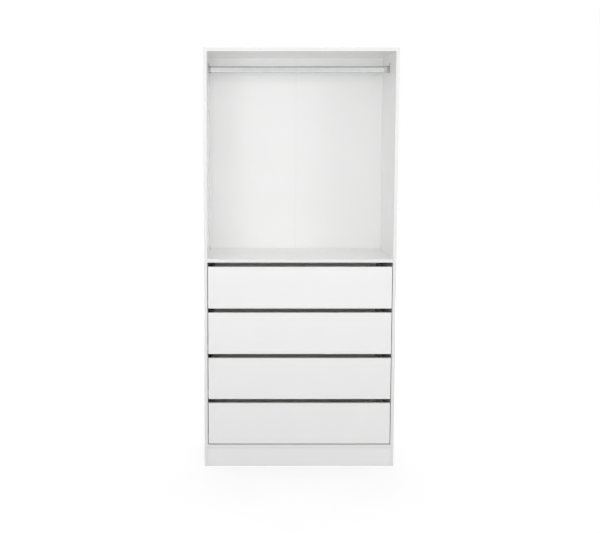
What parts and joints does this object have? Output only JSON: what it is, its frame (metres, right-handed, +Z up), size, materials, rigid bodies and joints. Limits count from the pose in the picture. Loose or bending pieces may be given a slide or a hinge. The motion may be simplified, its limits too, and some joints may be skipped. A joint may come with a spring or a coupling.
{
  "type": "wardrobe unit with drawers",
  "caption": "White flat-pack wardrobe unit: open hanging space with an oval rail and two-part back over inset drawers without handles on roller runners.",
  "frame": {"origin": "middle of the footprint, on the floor", "axes": "+X to the right seen from the front, +Y to the back, +Z up; the drawer fronts face -Y"},
  "size_m": [0.9, 0.45, 1.97],
  "materials": {
    "white_board": "white melamine on particle board, fine satin texture",
    "white_hardboard": "hardboard, coated smooth satin white on the face, bare brown behind",
    "white_plastic": "extruded plastic, satin",
    "chrome_plate": "polished chrome plate",
    "zinc_plate": "bright zinc plate",
    "white_enamel": "white epoxy coat on rolled steel",
    "roller_nylon": "moulded nylon",
    "beech_dowel": "bare fluted beech"
  },
  "bodies": {
    "carcass": {"side_panel_left": "white_board", "side_panel_right": "white_board", "top_panel": "white_board", "fixed_shelf": "white_board", "bottom_panel": "white_board", "kickboard": "white_board", "rear_kick_rail": "white_board", "back_panel_left": "white_hardboard", "back_panel_right": "white_hardboard", "back_joining_strip": "white_plastic", "hanging_rail": "chrome_plate", "rail_support_left": "chrome_plate", "rail_support_right": "chrome_plate", "rail_support_screws": "zinc_plate", "cam_locks": "zinc_plate", "cam_bolts": "zinc_plate", "dowels": "beech_dowel", "runner_screws": "zinc_plate", "cabinet_runners_1": "white_enamel", "cabinet_runners_2": "white_enamel", "cabinet_runners_3": "white_enamel", "cabinet_runners_4": "white_enamel"},
    "drawer_1": {"drawer_1_front": "white_board", "drawer_1_left_side": "white_board", "drawer_1_right_side": "white_board", "drawer_1_back": "white_board", "drawer_1_base": "white_hardboard", "drawer_1_runners": "white_enamel", "drawer_1_fasteners": "zinc_plate"},
    "drawer_1_rear_rollers": {"drawer_1_rollers": "roller_nylon"},
    "cabinet_1_front_rollers": {"cabinet_rollers_1": "roller_nylon"},
    "drawer_2": {"drawer_2_front": "white_board", "drawer_2_left_side": "white_board", "drawer_2_right_side": "white_board", "drawer_2_back": "white_board", "drawer_2_base": "white_hardboard", "drawer_2_runners": "white_enamel", "drawer_2_fasteners": "zinc_plate"},
    "drawer_2_rear_rollers": {"drawer_2_rollers": "roller_nylon"},
    "cabinet_2_front_rollers": {"cabinet_rollers_2": "roller_nylon"},
    "drawer_3": {"drawer_3_front": "white_board", "drawer_3_left_side": "white_board", "drawer_3_right_side": "white_board", "drawer_3_back": "white_board", "drawer_3_base": "white_hardboard", "drawer_3_runners": "white_enamel", "drawer_3_fasteners": "zinc_plate"},
    "drawer_3_rear_rollers": {"drawer_3_rollers": "roller_nylon"},
    "cabinet_3_front_rollers": {"cabinet_rollers_3": "roller_nylon"},
    "drawer_4": {"drawer_4_front": "white_board", "drawer_4_left_side": "white_board", "drawer_4_right_side": "white_board", "drawer_4_back": "white_board", "drawer_4_base": "white_hardboard", "drawer_4_runners": "white_enamel", "drawer_4_fasteners": "zinc_plate"},
    "drawer_4_rear_rollers": {"drawer_4_rollers": "roller_nylon"},
    "cabinet_4_front_rollers": {"cabinet_rollers_4": "roller_nylon"}
  },
  "joints": [
    {"name": "drawer_1_slide", "type": "slide", "parent": "carcass", "child": "drawer_1", "axis": [0, -1, 0], "range_m": [0, 0.3]},
    {"name": "drawer_1_roller_spin", "type": "hinge", "parent": "drawer_1", "child": "drawer_1_rear_rollers", "pos_m": [0, 0.1803, 0.7853], "axis": [1, 0, 0], "continuous": true},
    {"name": "cabinet_1_roller_spin", "type": "hinge", "parent": "carcass", "child": "cabinet_1_front_rollers", "pos_m": [0, -0.194, 0.784], "axis": [1, 0, 0], "continuous": true},
    {"name": "drawer_2_slide", "type": "slide", "parent": "carcass", "child": "drawer_2", "axis": [0, -1, 0], "range_m": [0, 0.3]},
    {"name": "drawer_2_roller_spin", "type": "hinge", "parent": "drawer_2", "child": "drawer_2_rear_rollers", "pos_m": [0, 0.1803, 0.5678], "axis": [1, 0, 0], "continuous": true},
    {"name": "cabinet_2_roller_spin", "type": "hinge", "parent": "carcass", "child": "cabinet_2_front_rollers", "pos_m": [0, -0.194, 0.5665], "axis": [1, 0, 0], "continuous": true},
    {"name": "drawer_3_slide", "type": "slide", "parent": "carcass", "child": "drawer_3", "axis": [0, -1, 0], "range_m": [0, 0.3]},
    {"name": "drawer_3_roller_spin", "type": "hinge", "parent": "drawer_3", "child": "drawer_3_rear_rollers", "pos_m": [0, 0.1803, 0.3503], "axis": [1, 0, 0], "continuous": true},
    {"name": "cabinet_3_roller_spin", "type": "hinge", "parent": "carcass", "child": "cabinet_3_front_rollers", "pos_m": [0, -0.194, 0.349], "axis": [1, 0, 0], "continuous": true},
    {"name": "drawer_4_slide", "type": "slide", "parent": "carcass", "child": "drawer_4", "axis": [0, -1, 0], "range_m": [0, 0.3]},
    {"name": "drawer_4_roller_spin", "type": "hinge", "parent": "drawer_4", "child": "drawer_4_rear_rollers", "pos_m": [0, 0.1803, 0.1328], "axis": [1, 0, 0], "continuous": true},
    {"name": "cabinet_4_roller_spin", "type": "hinge", "parent": "carcass", "child": "cabinet_4_front_rollers", "pos_m": [0, -0.194, 0.1315], "axis": [1, 0, 0], "continuous": true}
  ],
  "couplings": [
    {"joint": "drawer_1_roller_spin", "follows": "drawer_1_slide", "rad_per_m": 90.909},
    {"joint": "cabinet_1_roller_spin", "follows": "drawer_1_slide", "rad_per_m": 90.909},
    {"joint": "drawer_2_roller_spin", "follows": "drawer_2_slide", "rad_per_m": 90.909},
    {"joint": "cabinet_2_roller_spin", "follows": "drawer_2_slide", "rad_per_m": 90.909},
    {"joint": "drawer_3_roller_spin", "follows": "drawer_3_slide", "rad_per_m": 90.909},
    {"joint": "cabinet_3_roller_spin", "follows": "drawer_3_slide", "rad_per_m": 90.909},
    {"joint": "drawer_4_roller_spin", "follows": "drawer_4_slide", "rad_per_m": 90.909},
    {"joint": "cabinet_4_roller_spin", "follows": "drawer_4_slide", "rad_per_m": 90.909}
  ]
}
